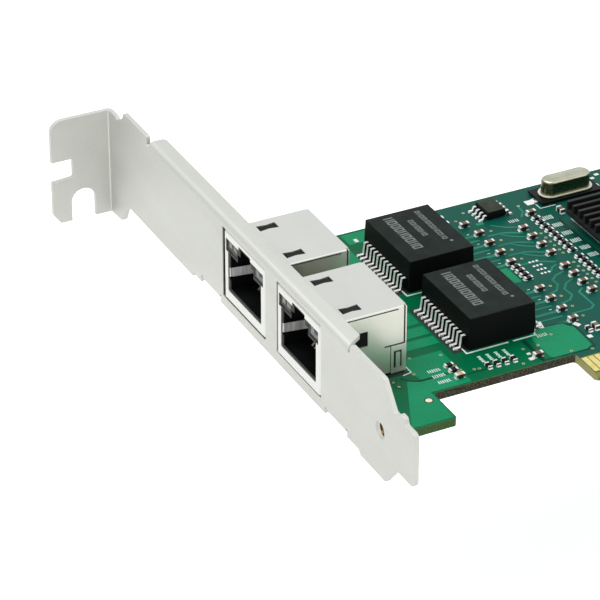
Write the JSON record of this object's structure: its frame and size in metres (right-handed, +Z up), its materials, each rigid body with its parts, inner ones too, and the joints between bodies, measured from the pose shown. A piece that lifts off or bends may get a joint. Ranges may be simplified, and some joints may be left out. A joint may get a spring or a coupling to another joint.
{
  "type": "network interface card",
  "caption": "Expansion card with a folded steel bracket, shielded network jacks, transformer modules, a finned heat sink and gold edge fingers.",
  "frame": {"origin": "on the bracket's outer face, level with the board's component side and in line with the board's back edge", "axes": "+X along the board away from the bracket, +Y along the bracket towards its screw flange, +Z up from the component side"},
  "size_m": [0.1398, 0.1201, 0.0241],
  "materials": {
    "anodised_aluminium": "black anodised, satin",
    "black_glaze": "glass glaze over resistor film",
    "black_plastic": "moulded glass-filled nylon",
    "board_laminate": "glass-epoxy laminate under green solder mask",
    "brown_ceramic": "fired ceramic",
    "clear_lens": "clear moulded epoxy",
    "crystal_metal": "drawn nickel silver can",
    "gold_plating": "gold over nickel on copper",
    "gold_wire": "gold-plated phosphor bronze",
    "green_lens": "green-tinted moulded epoxy",
    "module_epoxy": "moulded epoxy, fine matt",
    "moulded_epoxy": "moulded epoxy, fine matt",
    "ochre_resin": "moulded resin",
    "plated_steel": "zinc-plated rolled sheet steel, satin",
    "screw_steel": "zinc-plated machine screw",
    "solder": "tin alloy solder",
    "thermal_pad": "grey filled silicone",
    "tinned_ends": "tinned end caps",
    "tinned_leads": "tin-plated copper alloy",
    "tinned_sheet": "tin-plated spring sheet"
  },
  "bodies": {
    "root": {"bracket": "plated_steel", "bracket_screws": "screw_steel", "capacitor_bodies": "brown_ceramic", "capacitor_terminals": "tinned_ends", "circuit_board": "board_laminate", "controller_chip": "moulded_epoxy", "controller_solder_balls": "solder", "crystal_can": "crystal_metal", "crystal_leads": "tinned_leads", "crystal_seat": "black_plastic", "edge_fingers_bottom": "gold_plating", "edge_fingers_top": "gold_plating", "heat_sink": "anodised_aluminium", "jack_1_contacts": "gold_wire", "jack_1_housing": "black_plastic", "jack_1_left_led": "clear_lens", "jack_1_rear_cover": "tinned_sheet", "jack_1_right_led": "green_lens", "jack_1_shield": "tinned_sheet", "jack_2_contacts": "gold_wire", "jack_2_housing": "black_plastic", "jack_2_left_led": "clear_lens", "jack_2_rear_cover": "tinned_sheet", "jack_2_right_led": "green_lens", "jack_2_shield": "tinned_sheet", "memory_chip_body": "moulded_epoxy", "memory_chip_leads": "tinned_leads", "regulator_body": "moulded_epoxy", "regulator_leads": "tinned_leads", "resistor_bodies": "black_glaze", "resistor_terminals": "tinned_ends", "tantalum_capacitor_bodies": "ochre_resin", "tantalum_capacitor_terminals": "tinned_ends", "thermal_pad": "thermal_pad", "tiny_part_bodies": "black_glaze", "tiny_part_terminals": "tinned_ends", "transformer_1_body": "module_epoxy", "transformer_1_leads": "tinned_leads", "transformer_2_body": "module_epoxy", "transformer_2_leads": "tinned_leads"}
  },
  "joints": []
}
